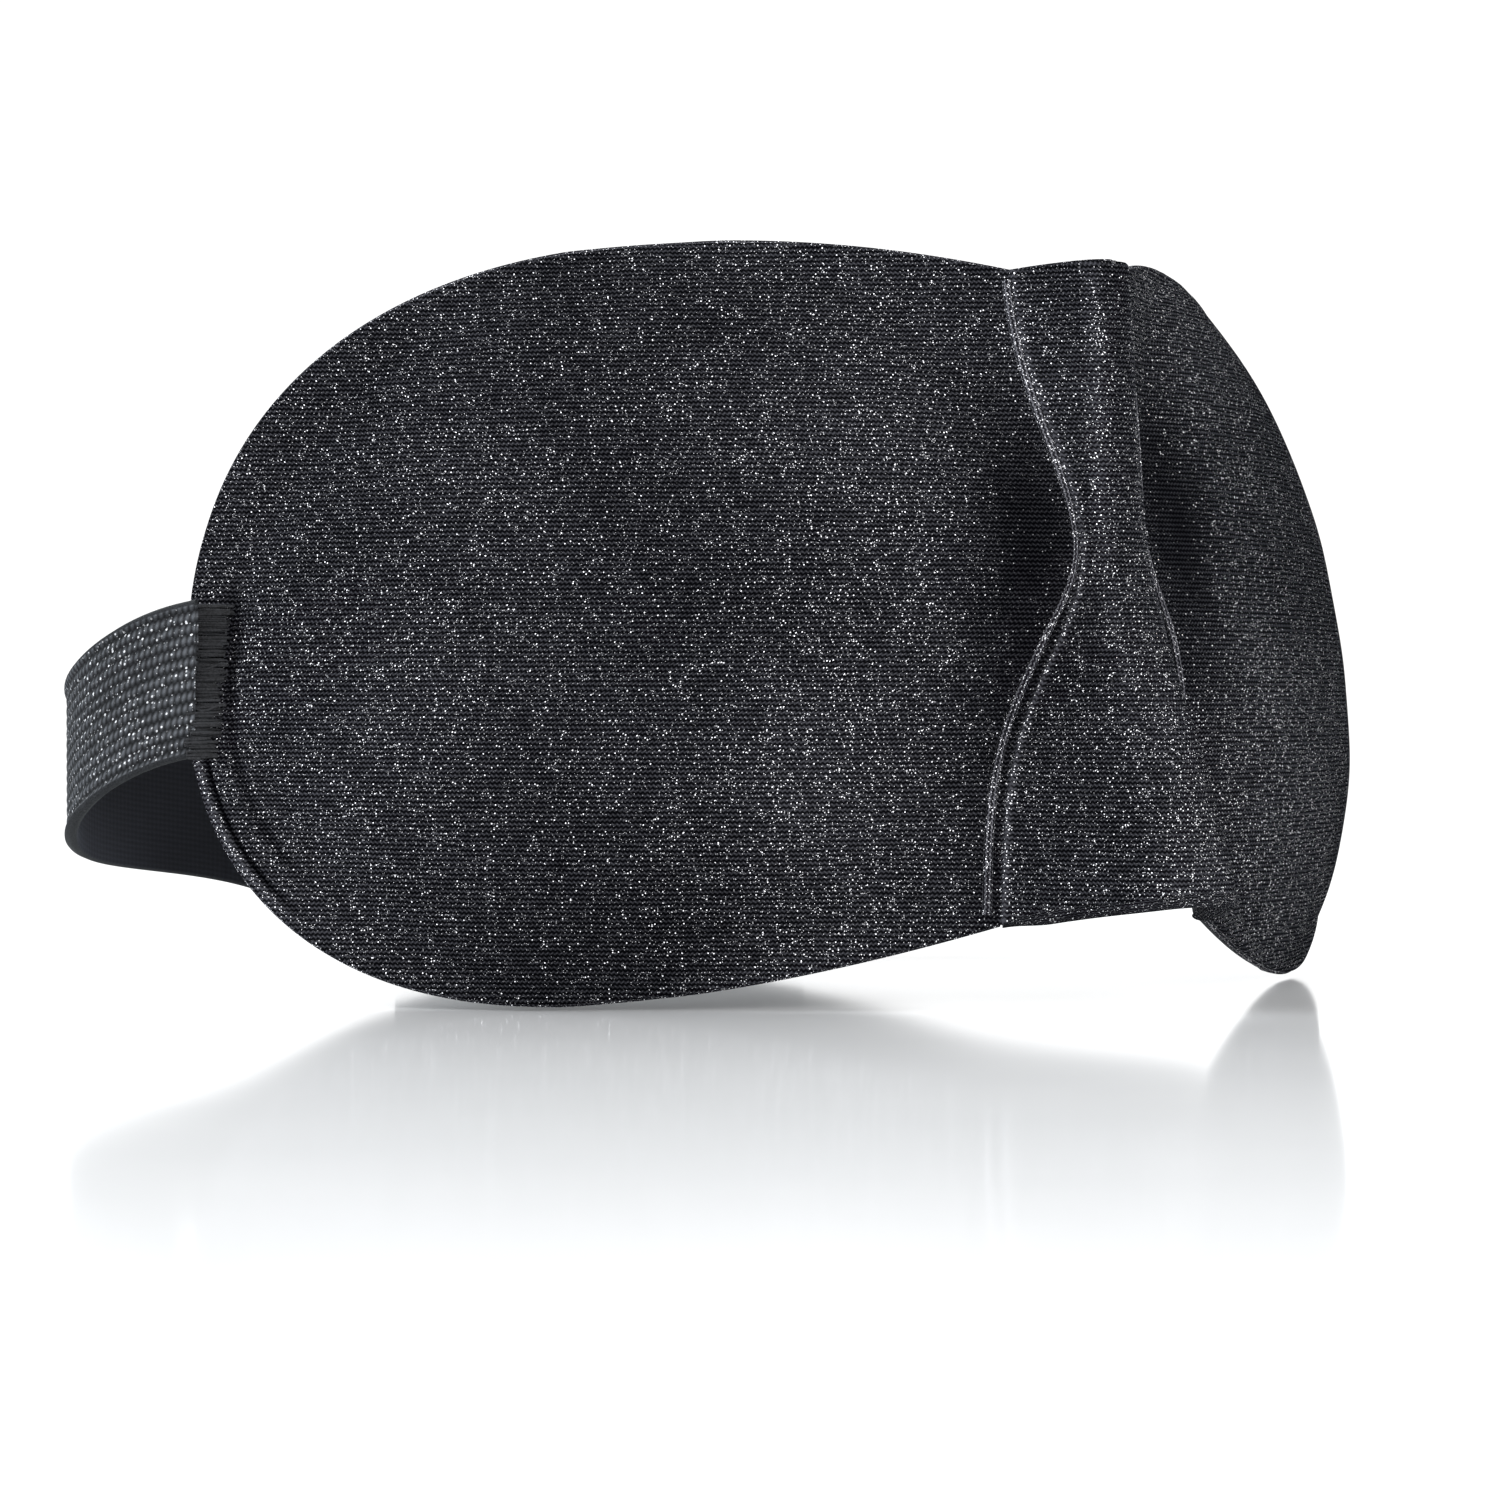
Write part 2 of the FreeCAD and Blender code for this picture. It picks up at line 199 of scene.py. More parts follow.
def ridgePlace(side, q, t, depth):
    foot = place(1, crease(t), -depth, t)
    down, corner = ridgeCorner(t)
    corner = corner - ridge["cornerDepth"] * depth
    soft = ridge["softTop"] + (ridge["softLow"] - ridge["softTop"]) * down + ridge["softDepth"] * depth
    front = ridge["reach"] + ridge["slope"] * (cup["height"] - t) + ridge["flare"] * smooth(down) - depth
    footX = foot[..., 0] / mm

    def fall(x):
        return (x + np.hypot(x, soft)) / 2

    start = fall(-corner)
    share = (fall(q * footX - corner) - start) / (fall(footX - corner) - start)
    frontY = shift[1] - front * mm
    y = frontY + (foot[..., 1] - frontY) * share
    return np.stack([side * foot[..., 0] * q, y, foot[..., 2]], -1)


def noseHeight(q, v):
    low = lowEdge(cup["creaseS"]) + ridge["arch"] * (1 - q ** 2)
    high = topEdge(cup["creaseS"]) + ridge["crown"] * (1 - q ** 2)
    return low * (1 - v) + high * v


class Half:
    # sheets of points from the middle of the nose (column 0) to the strap end (last column)
    def __init__(self, side, rowRun, outerEnd=1.0):
        self.side = side
        ridgeRun = 1 - (1 - np.linspace(0, 1, weave["ridgeColumns"])) ** weave["ridgeCrowd"]
        nearCrease = np.linspace(0, weave["creaseShare"], weave["creaseColumns"])[1:]
        beyond = np.linspace(weave["creaseShare"], outerEnd, weave["cupColumns"])[1:]
        cupRun = np.concatenate([nearCrease, beyond])
        self.q, rows = np.meshgrid(ridgeRun, rowRun, indexing="ij")
        self.noseT = noseHeight(self.q, rows)
        columns, rows = np.meshgrid(cupRun, rowRun, indexing="ij")
        self.s, self.t = cupPlace(columns, rows)
        self.share = domeShare(self.s, self.t)
        self.dome = cup["domeHeight"] * (1 - self.share ** cup["domePower"])
        self.cupFull = padding(self.share)
        self.noseFull = ridge["thick"] + (cup["edgeThick"] - ridge["thick"]) * ramp(self.q, ridge["taper"], 1)
        surface = ridgePlace(side, self.q, self.noseT, 0.0)
        steps = np.linalg.norm(np.diff(surface, axis=0), axis=-1) / mm
        arc = np.concatenate([np.zeros((1, steps.shape[1])), np.cumsum(steps, axis=0)])
        # w is the distance from the crease: below 0 on the nose, above 0 on the cup
        self.w = np.concatenate([arc - arc[-1:], self.s - crease(self.t)])
        self.height = np.concatenate([self.noseT, self.t])
        self.out = self.w + crease(self.height)
        self.border = np.concatenate([0 * self.noseT + nowhere, borderDistance(self.s, self.t)])
        # mm across from the corner of the ridge, above 0 on the flank
        _, corner = ridgeCorner(self.noseT)
        self.corner = np.concatenate([np.abs(surface[..., 0]) / mm - corner, 0 * self.t + nowhere])

    def sheet(self, depth):
        nose = ridgePlace(self.side, self.q, self.noseT, depth(self.noseFull))
        outer = place(self.side, self.s, self.dome - depth(self.cupFull), self.t)
        return np.concatenate([nose, outer])

    def outward(self, points):
        along = np.gradient(points, axis=0)
        up = np.gradient(points, axis=1)
        return unit(np.cross(up, along)) * -self.side


def gridPiece(name, points, cloth, pullAndPaintedLight=None):
    # a grid primitive, one row for each section, shaped to the points, closed round and capped;
    # cloth is its flat place in mm, and the last argument is a layer that makes the knit paler and darker,
    # partly for taut cloth and mostly as painted highlight and painted shade
    sections, around = points.shape[:2]
    bpy.ops.object.select_all(action="DESELECT")
    points = np.concatenate([points, points[:, :1]], 1)
    cloth = np.concatenate([cloth, 2 * cloth[:, -1:] - cloth[:, -2:-1]], 1)
    bpy.ops.mesh.primitive_grid_add(x_subdivisions=around, y_subdivisions=sections - 1, size=1)
    piece = bpy.context.object
    piece.name = piece.data.name = name
    mesh = piece.data
    mesh.vertices.foreach_set("co", points.reshape(-1).astype(np.float32))
    corners = np.empty(len(mesh.loops), np.int32)
    mesh.loops.foreach_get("vertex_index", corners)
    layer = mesh.uv_layers[0]
    layer.name = "cloth"
    layer.data.foreach_set("uv", cloth.reshape(-1, 2)[corners].reshape(-1).astype(np.float32))
    if pullAndPaintedLight is not None:
        pullAndPaintedLight = np.concatenate([pullAndPaintedLight, pullAndPaintedLight[:, :1]], 1)
        toneLayer = mesh.attributes.new("pullAndPaintedLight", "FLOAT", "POINT")
        toneLayer.data.foreach_set("value", pullAndPaintedLight.reshape(-1).astype(np.float32))
    mesh.update()
    bpy.ops.object.mode_set(mode="EDIT")
    bpy.ops.mesh.select_all(action="SELECT")
    bpy.ops.mesh.remove_doubles(threshold=2e-7)
    bpy.ops.mesh.select_all(action="DESELECT")
    bpy.ops.mesh.select_mode(type="EDGE")
    rims = {"extend": False, "use_wire": False, "use_multi_face": False, "use_non_contiguous": False}
    bpy.ops.mesh.select_non_manifold(**rims)
    bpy.ops.mesh.fill_holes(sides=0)
    bpy.ops.mesh.select_all(action="SELECT")
    bpy.ops.mesh.normals_make_consistent(inside=False)
    bpy.ops.object.mode_set(mode="OBJECT")
    piece.location = (0, 0, 0)
    bpy.ops.object.shade_smooth_by_angle(angle=math.radians(50))
    return piece


# a layer's round outer end: degrees turned, and mm of cloth past the sheet; then mm of cloth round a rim
layer = {"endTurns": (30, 60, 85), "endCloth": (0.3, 0.6, 0.8), "rimCloth": (0.2, 1.0)}


def layerPiece(name, front, back, cloth, bulge, pullAndPaintedLight=None):
    # closed layer between two sheets, with round upper and lower edges and a round outer end
    def ended(sheet, other):
        middle = (sheet[-1] + other[-1]) / 2
        half = (sheet[-1] - other[-1]) / 2
        out = unit(middle - (sheet[-2] + other[-2]) / 2) * np.linalg.norm(half, axis=-1, keepdims=True)
        turns = [math.radians(a) for a in layer["endTurns"]]
        extra = [middle + half * math.cos(a) + out * bulge * math.sin(a) for a in turns]
        return np.concatenate([sheet, np.stack(extra)])

    near, far = ended(front, back), ended(back, front)
    flat = np.concatenate([cloth] + [cloth[-1:] + [[past, 0]] for past in layer["endCloth"]])

    def edge(row, before, first, second):
        middle = (first[:, row] + second[:, row]) / 2
        half = (first[:, row] - second[:, row]) / 2
        out = unit(middle - (first[:, before] + second[:, before]) / 2)
        out = out * np.linalg.norm(half, axis=-1, keepdims=True) * bulge
        turns = [math.pi * (i + 1) / (weave["rimSteps"] + 1) for i in range(weave["rimSteps"])]
        return np.stack([middle + half * math.cos(a) + out * math.sin(a) for a in turns], 1)

    top = edge(-1, -2, near, far)
    bottom = edge(0, 1, far, near)
    rise = np.linspace(*layer["rimCloth"], weave["rimSteps"])[None, :, None] * [[[0.0, 1.0]]]
    ring = np.concatenate([near, top, far[:, ::-1], bottom], 1)
    flatRing = np.concatenate([flat, flat[:, -1:] + rise, flat[:, ::-1], flat[:, :1] - rise[:, ::-1]], 1)
    # the knit's layer of painted highlight and shade, partly for taut cloth, carried round the end and rims;
    # the back sheet gets none
    if pullAndPaintedLight is not None:
        pullAndPaintedLight = np.concatenate([pullAndPaintedLight, np.repeat(pullAndPaintedLight[-1:], len(layer["endCloth"]), axis=0)])
        top = np.repeat(pullAndPaintedLight[:, -1:], weave["rimSteps"], 1)
        bottom = np.repeat(pullAndPaintedLight[:, :1], weave["rimSteps"], 1)
        pullAndPaintedLight = np.concatenate([pullAndPaintedLight, top, 0 * pullAndPaintedLight, bottom], 1)
    return gridPiece(name, ring, flatRing, pullAndPaintedLight)


def tubePiece(name, centres, across, along, radii, cloth, sides=12):
    # round section along a line of centres; across and along are the section's own axes
    angles = np.linspace(0, 2 * math.pi, sides, endpoint=False)
    ring = centres[:, None] + across[:, None] * np.cos(angles)[None, :, None] * radii[:, None, :1] * mm
    ring = ring + along[:, None] * np.sin(angles)[None, :, None] * radii[:, None, 1:] * mm
    flat = np.stack(np.broadcast_arrays(cloth[:, None], angles[None] * radii.max()), -1)
    return gridPiece(name, ring, flat)


def runLength(points):
    return np.concatenate([[0], np.cumsum(np.linalg.norm(np.diff(points, axis=0), axis=1))]) / mm


def threadPiece(name, runs, radius):
    # bent lines of thread, as one bevelled curve turned to a mesh
    curve = bpy.data.curves.new(name, "CURVE")
    curve.dimensions = "3D"
    curve.bevel_depth = radius * mm
    curve.bevel_resolution = 1
    curve.use_fill_caps = True
    for run in runs:
        spline = curve.splines.new("POLY")
        spline.points.add(len(run) - 1)
        spline.points.foreach_set("co", np.c_[run, np.ones(len(run))].reshape(-1))
    piece = bpy.data.objects.new(name, curve)
    bpy.context.collection.objects.link(piece)
    bpy.ops.object.select_all(action="DESELECT")
    piece.select_set(True)
    bpy.context.view_layer.objects.active = piece
    bpy.ops.object.convert(target="MESH")
    piece = bpy.context.object
    bpy.ops.object.shade_smooth_by_angle(angle=math.radians(70))
    return piece


class Wire:
    # a shader socket that can be added, multiplied and compared like a number
    def __init__(self, tree, socket):
        self.tree, self.socket = tree, socket

    def maths(self, operation, *values):
        return self.tree.add("ShaderNodeMath", {"operation": operation}, dict(enumerate(values)))

    def __add__(self, other):
        return self.maths("ADD", self, other)

    def __radd__(self, other):
        return self.maths("ADD", other, self)

    def __sub__(self, other):
        return self.maths("SUBTRACT", self, other)

    def __rsub__(self, other):
        return self.maths("SUBTRACT", other, self)

    def __mul__(self, other):
        return self.maths("MULTIPLY", self, other)

    def __truediv__(self, other):
        return self.maths("DIVIDE", self, other)

    def wave(self):
        return self.maths("SINE", self * (2 * math.pi)) * 0.5 + 0.5

    def floor(self):
        return self.maths("FLOOR", self)

    def zigzag(self, size):
        return self.maths("PINGPONG", self, size)

    def step(self, low, high):
        inputs = {"Value": self, "From Min": low, "From Max": high}
        return self.tree.add("ShaderNodeMapRange", {"interpolation_type": "SMOOTHSTEP"}, inputs)


class ClothTree:
    # one cloth material; places are in mm on the piece's own flat map
    def __init__(self, name):
        self.material = bpy.data.materials.new(name)
        self.material.use_nodes = True
        self.nodes = self.material.node_tree.nodes
        self.nodes.clear()
        self.flat = self.add("ShaderNodeUVMap", {"uv_map": "cloth"}, output="UV")
        self.u = self.add("ShaderNodeSeparateXYZ", inputs={0: self.flat}, output="X")
        self.v = self.add("ShaderNodeSeparateXYZ", inputs={0: self.flat}, output="Y")
        self.solid = self.add("ShaderNodeTexCoord", output="Object")

    def add(self, kind, settings=None, inputs=None, output=0):
        node = self.nodes.new(kind)
        for key, value in (settings or {}).items():
            setattr(node, key, value)
        for key, value in (inputs or {}).items():
            if isinstance(value, Wire):
                self.material.node_tree.links.new(value.socket, node.inputs[key])
            else:
                node.inputs[key].default_value = value
        return Wire(self, node.outputs[output]) if output is not None else None

    def mix(self, amount, first, second):
        return self.add("ShaderNodeMix", {"data_type": "RGBA"}, {0: amount, 6: first, 7: second}, output=2)

    def noise(self, scale, detail=2.0):
        return self.add("ShaderNodeTexNoise", {}, {"Vector": self.solid, "Scale": scale, "Detail": detail})

    def fibre(self):
        return self.noise(5200.0)

    def specks(self, scale, share, size):
        # bright points: a random share of the cells holds one
        settings = {"voronoi_dimensions": "2D"}
        inputs = {"Vector": self.flat, "Scale": scale}
        near = self.add("ShaderNodeTexVoronoi", settings, inputs, output="Distance")
        shade = self.add("ShaderNodeTexVoronoi", settings, inputs, output="Color")
        lot = self.add("ShaderNodeSeparateColor", inputs={0: shade}, output=0)
        return (1 - near.step(size * 0.5, size)) * lot.step(1 - share, 1.0)

    def finish(self, colour, roughness, height, depth, sheen=0.0, tint=(1, 1, 1, 1), specular=0.3):
        normal = self.add("ShaderNodeBump", {}, {"Height": height, "Distance": depth * mm, "Strength": 1.0})
        inputs = {
            "Base Color": colour, "Roughness": roughness, "Normal": normal, "Sheen Weight": sheen,
            "Sheen Roughness": 0.45, "Sheen Tint": tint, "Specular IOR Level": specular,
        }
        shader = self.add("ShaderNodeBsdfPrincipled", {}, inputs)
        self.add("ShaderNodeOutputMaterial", {}, {"Surface": shader}, output=None)
        return self.material


# mm from one column and one row of stitches to the next, how far a stitch's leg slants
# (in rows), and cells to the mm, share and size of two kinds of glitter, painted as pale glints
knitting = {"wale": 0.58, "course": 0.6, "slant": 0.7, "large": (2.8, 0.085, 0.28), "fine": (4.9, 0.2, 0.32)}


def knitCloth(name, dark, light, glitter):
    # fine rows of knit stitches with scattered glossy fibres; their glints are painted as pale specks, and
    # the tone and specks take painted highlight and shade from the mesh layer
    tree = ClothTree(name)
    # the mesh layer of painted highlight and shade, partly for taut cloth
    pullAndPaintedLight = tree.add("ShaderNodeAttribute", {"attribute_name": "pullAndPaintedLight"}, output="Fac")
    wale, course = tree.u / knitting["wale"], tree.v / knitting["course"]
    rows = (course + wale.zigzag(0.5) * knitting["slant"]).wave()
    columns = (wale + course.floor() * 0.5).wave()
    patchy = tree.noise(520.0, 3.0)
    cloud = tree.noise(26.0, 2.0)
    fibre = tree.fibre()
    stitch = rows.step(0.05, 1.0) * (columns * 0.65 + 0.35)
    tone = (stitch * 0.95 + fibre * 0.3) * (patchy * 0.8 + 0.5) * (cloud * 1.1 + 0.42)
    # painted highlight and shade from the mesh layer, partly taut cloth
    tone = tone * (1 + pullAndPaintedLight * 1.5)
    colour = tree.mix(tone.step(0.02, 1.2), dark, light)
    # pale specks: painted glints of the glossy fibres
    bright = tree.specks(*knitting["large"]) + tree.specks(*knitting["fine"]) * 0.5
    bright = bright * (cloud * 0.9 + 0.5) * (patchy * 0.6 + 0.7) * (pullAndPaintedLight * 2.4 + 0.95) * glitter
    colour = tree.mix(bright.step(0.12, 1.1), colour, (0.9, 0.9, 0.93, 1))
    height = stitch * 0.9 + fibre * 0.5
    return tree.finish(colour, 0.86 - bright * 0.3, height, 0.2, 0.003, (0.6, 0.8, 0.9, 1), 0.0)


def liningCloth():
    tree = ClothTree("lining jersey")
    ribs = (tree.u / 0.34).wave() * ((tree.v / 0.4).wave() * 0.3 + 0.7)
    cloud = tree.noise(60.0, 3.0)
    fibre = tree.noise(6000.0, 2.0)
    tone = (ribs * 0.5 + fibre * 0.4) * (cloud * 0.7 + 0.6)
    colour = tree.mix(tone, (0.002, 0.0024, 0.0034, 1), (0.009, 0.0105, 0.014, 1))
    return tree.finish(colour, 0.74 + fibre * 0.15, ribs + fibre * 0.4, 0.05, 0.03, (0.6, 0.7, 0.8, 1), 0.16)


def foamCore():
    tree = ClothTree("foam")
    cells = tree.add("ShaderNodeTexVoronoi", {}, {"Vector": tree.solid, "Scale": 2600.0}, output="Distance")
    cloud = tree.noise(160.0, 3.0)
    colour = tree.mix(cells * 0.7 + cloud * 0.4, (0.008, 0.008, 0.009, 1), (0.03, 0.031, 0.034, 1))
    return tree.finish(colour, 0.95 - cells * 0.1, cells, 0.25, 0.05)


def threadCloth(name, dark, light):
    tree = ClothTree(name)
    twist = tree.noise(3800.0, 2.0)
    tuft = tree.noise(700.0, 2.0)
    colour = tree.mix((twist * 0.8 + tuft * 0.5).step(0.35, 0.95), dark, light)
    return tree.finish(colour, 0.85 - twist * 0.2, twist, 0.12, 0.06, (0.7, 0.75, 0.8, 1), 0.2)


def elasticCloth():
    # ribs along the band, each made of staggered loops
    tree = ClothTree("ribbed elastic")
    pitch = strap["width"] / strap["ribs"]
    rib = tree.v / pitch
    loops = (tree.u / 0.82 + rib.floor() * 0.5 + rib * 0.3).wave()
    ribs = (rib - 0.25).wave()
    edge = tree.v.step(0.8, 0.55) + tree.v.step(strap["width"] - 0.8, strap["width"] - 0.55)
    fibre = tree.fibre()
    cloud = tree.noise(110.0, 3.0)
    patchy = tree.noise(900.0, 3.0)
    tone = (ribs * 0.6 + 0.2) * (loops * 0.75 + 0.3) * (cloud * 0.8 + 0.6) * (patchy + 0.5)
    tone = (tone + fibre * 0.12) * (1 - edge) + edge * (fibre * 0.5 + 0.02)
    colour = tree.mix(tone.step(0.03, 0.95), (0.001, 0.0012, 0.0016, 1), (0.058, 0.062, 0.069, 1))
    bright = tree.specks(1.5, 0.34, 0.3) + tree.specks(2.9, 0.26, 0.33) * 0.7
    bright = bright * (loops * 0.7 + 0.3) * (1 - edge * 0.8)
    colour = tree.mix(bright.step(0.08, 0.8) * 0.85, colour, (0.55, 0.56, 0.58, 1))
    height = loops * ribs * (1 - edge) + fibre * 0.3
    return tree.finish(colour, 0.82 - bright * 0.25, height, 0.25, 0.03, (0.7, 0.8, 0.82, 1), 0.1)


def bandInside():
    tree = ClothTree("elastic inner face")
    ribs = (tree.v / 0.72).wave()
    ladder = (tree.u / 0.9).wave()
    cloud = tree.noise(90.0, 3.0)
    fibre = tree.fibre()
    tone = (ribs * 0.3 + ladder * 0.2 + fibre * 0.4) * (cloud * 0.9 + 0.4)
    colour = tree.mix(tone, (0.0042, 0.0046, 0.0062, 1), (0.018, 0.02, 0.027, 1))
    height = ribs * 0.7 + ladder * 0.3
    return tree.finish(colour, 0.7 + fibre * 0.15, height, 0.06, 0.02, (0.5, 0.6, 0.8, 1), 0.14)


def webbingCloth():
    # flat woven tape in a small herringbone
    tree = ClothTree("woven tape")
    weft = ((tree.u + tree.v.zigzag(2.5)) / 0.8).wave()
    warp = (tree.v / 0.55).wave()
    fibre = tree.fibre()
    cloud = tree.noise(120.0, 3.0)
    tone = (weft * 0.5 + warp * 0.3 + fibre * 0.3) * (cloud * 0.6 + 0.6)
    colour = tree.mix(tone, (0.003, 0.003, 0.0037, 1), (0.03, 0.0315, 0.035, 1))
    height = weft * 0.6 + warp * 0.4
    return tree.finish(colour, 0.72 + fibre * 0.15, height, 0.18, 0.04, (0.7, 0.75, 0.8, 1), 0.2)


def loopPile():
    tree = ClothTree("loop pile")
    inputs = {"Vector": tree.solid, "Scale": 1500.0}
    curls = tree.add("ShaderNodeTexVoronoi", {"feature": "SMOOTH_F1"}, inputs)
    fluff = tree.noise(2600.0, 4.0)
    tone = curls * 0.7 + fluff * 0.6
    colour = tree.mix(tone.step(0.3, 1.1), (0.004, 0.004, 0.005, 1), (0.045, 0.047, 0.052, 1))
    return tree.finish(colour, 0.92 - fluff * 0.1, tone, 0.5, 0.08, (0.75, 0.78, 0.82, 1), 0.15)


def hookTape():
    tree = ClothTree("hook tape")
    weft = (tree.u / 0.5).wave()
    warp = (tree.v / 0.5).wave()
    fibre = tree.noise(4200.0, 2.0)
    colour = tree.mix(weft * warp * 0.8 + fibre * 0.2, (0.006, 0.006, 0.007, 1), (0.05, 0.052, 0.056, 1))
    return tree.finish(colour, 0.42 + fibre * 0.2, weft * warp, 0.15, 0.05)


def paleFloor():
    tree = ClothTree("pale floor")
    grain = tree.noise(14.0, 3.0)
    colour = tree.mix(grain, (0.86, 0.87, 0.88, 1), (0.9, 0.905, 0.91, 1))
    return tree.finish(colour, 0.07 + grain * 0.03, grain, 0.002, 0.0, (1, 1, 1, 1), 0.75)


finishes = {}


def dressed(piece, finish, slot, *nodes):
    piece.data.materials.clear()
    piece.data.materials.append(finishes[finish])
    if nodes:
        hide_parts(*nodes)
    return piece


def turning(piece, side):
    # bakes the piece's placing into its mesh; the ends of its turning zone are worked out but not used
    start = place(side, 0, 0, cup["belt"])
    start[0] = side * fold["start"] * mm
    end = start + np.array([side * (fold["end"] - fold["start"]) * mm, 0, 0])
    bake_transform(piece)
    return piece


def makeFinishes():
    dark, light = (0.0003, 0.0003, 0.0006, 1), (0.039, 0.0395, 0.046, 1)
    finishes["knit"] = knitCloth("outer knit", dark, light, 1.9)
    # a paler copy of the knit with more glints, for the raised beads, welt and seams: partly their taut
    # cloth, partly painted highlight
    finishes["bead"] = knitCloth("stretched knit", (0.002, 0.002, 0.003, 1), (0.12, 0.12, 0.135, 1), 5.5)
    dark, light = (0.0012, 0.0012, 0.0016, 1), (0.013, 0.0135, 0.0155, 1)
    finishes["thread"] = threadCloth("seam thread", dark, light)
    finishes.update(lining=liningCloth(), foam=foamCore(), elastic=elasticCloth(), inside=bandInside())
    finishes.update(webbing=webbingCloth(), loop=loopPile(), hook=hookTape())
    print("materials made")


# relief of the outer knit, in mm: a zone has its start and where it is full, and a mound its
# place and width, with its height where that is fixed
skin = {
    "lowZone": (56, 46), "bead": (-0.45, 0.55), "beadHigh": 0.36, "beadLow": 0.62,
    "groove": (0.75, 0.38, 0.2), "ripple": 0.12, "rippleAcross": (5.1, 9.4), "rippleUp": (7.3, 4.7),
    "rimLow": (8, 16), "rimTop": (cup["tabLow"] + 2, cup["tabLow"] - 1), "rimOut": 60,
    "roll": (0.75, 0.55, 0.4), "rollLine": (1.75, 0.4, 0.4),
    "foot": (cup["flange"] - 0.6, 0.9), "footLow": (12, 20), "footTop": (56, 48), "footDeep": 0.4,
    "hollowLow": (29.5, 31.0), "hollowTop": (50.5, 49.0), "hollowOut": (100.4, 101.6),
    "hollowDeep": 0.3,
}


def zones(half):
    # the crease's lower part, the pressed border's lower outer rim, and the line where the dome rises
    low = ramp(half.height, *skin["lowZone"])
    rim = ramp(half.height, *skin["rimTop"]) * ramp(half.height, *skin["rimLow"])
    rim = rim * (half.out > skin["rimOut"])
    rising = ramp(half.height, *skin["footTop"]) * ramp(half.height, *skin["footLow"])
    return low, rim, bump(half.border, *skin["foot"]) * rising


def relief(half):
    low, rim, foot = zones(half)
    bead = bump(half.w, *skin["bead"]) * (skin["beadHigh"] + (skin["beadLow"] - skin["beadHigh"]) * low)
    groove = mound(half.w, skin["groove"]) * low
    across, up = skin["rippleAcross"], skin["rippleUp"]
    ripple = np.sin(half.w / across[0] + half.height / up[0])
    ripple = ripple * np.sin(half.height / up[1] - half.w / across[1]) * skin["ripple"]
    roll = (mound(half.border, skin["roll"]) - mound(half.border, skin["rollLine"])) * rim
    # a hollow under the bar tack
    hollow = ramp(half.height, *skin["hollowLow"]) * ramp(half.height, *skin["hollowTop"])
    hollow = hollow * ramp(half.out, *skin["hollowOut"]) * skin["hollowDeep"]
    return bead - groove + ripple + roll - foot * skin["footDeep"] - hollow


# how much the knit's colour is made paler and darker, in the same way: partly where the cloth is drawn taut,
# mostly painted highlight and painted shade
tightAndLight = {
    "bead": (-0.35, 0.45), "beadHigh": 0.8, "beadLow": 1.1, "groove": (0.75, 0.4, 0.1),
    "high": (20, 75), "corner": (-0.2, 0.7), "cornerLow": 0.14, "cornerHigh": 0.1, "cornerFrom": -1.5,
    "paintedCornerShade": (-2.4, -1.2), "paintedCornerShadeDeep": 0.08, "roll": (0.7, 0.5, 0.9), "rollLine": (1.75, 0.4, 0.5),
    "front": (-0.8, -2.3), "frontHigh": 0.35, "frontLow": 0.25,
    "fall": (7.0, 6.0, 0.3), "fallHeight": (58, 20), "fallNear": (2.0, 3.0, 0.1), "foot": 0.25,
    "flankFrom": 0.9, "flankOut": -1.2, "flank": 0.1,
    "dim": (58, 14, 0.1), "lit": (24, 14, 0.1), "litTop": (60, 40),
}


# sums the knit's paler and darker marks: partly taut cloth, mostly painted highlight and painted shade
def stretchAndPaintedLight(half):
    low, rim, foot = zones(half)
    # paler along the crease's bead, partly for its taut cloth and partly as painted highlight
    bead = bump(half.w, *tightAndLight["bead"]) * (tightAndLight["beadHigh"] + tightAndLight["beadLow"] * low)
    high = ramp(half.height, *tightAndLight["high"])
    # painted highlight along the ridge's front corners, stronger higher up
    corner = bump(half.corner, *tightAndLight["corner"]) * (tightAndLight["cornerLow"] + tightAndLight["cornerHigh"] * high)
    corner = corner * (half.w < tightAndLight["cornerFrom"])
    # painted shade: only the ridge's right corner is made darker, with fewer glints, to suit the photo's
    # viewpoint
    paintedCornerShade = ramp(half.corner, *tightAndLight["paintedCornerShade"]) * tightAndLight["paintedCornerShadeDeep"] * (half.w < 0) * (half.side > 0)
    # the rolled rim is paler and the line behind it darker
    roll = (mound(half.border, tightAndLight["roll"]) - mound(half.border, tightAndLight["rollLine"])) * rim
    # the front of the ridge is darker high up and paler low down, and the falls beside the crease get painted
    # shade
    front = ramp(half.corner, *tightAndLight["front"]) * (tightAndLight["frontHigh"] * high - tightAndLight["frontLow"])
    # painted shade where the dome falls into the crease, with a narrow band right beside it
    fall = mound(half.w, tightAndLight["fall"]) * bump(half.height, *tightAndLight["fallHeight"])
    fall = fall + mound(half.w, tightAndLight["fallNear"])
    # painted shade on the ridge's upper flank
    flank = (half.w < tightAndLight["flankOut"]) * (half.corner > tightAndLight["flankFrom"]) * high * tightAndLight["flank"]
    # broad soft zones where the dome catches less and more light
    dim = mound(half.w, tightAndLight["dim"])
    dim = dim - mound(half.w, tightAndLight["lit"]) * ramp(half.height, *tightAndLight["litTop"])
    # painted shade in the groove beside the bead and along the line where the dome rises
    level = bead - mound(half.w, tightAndLight["groove"]) * low + corner + roll - front - foot * tightAndLight["foot"]
    return level - flank - paintedCornerShade - (fall + dim) * (half.w > 0)


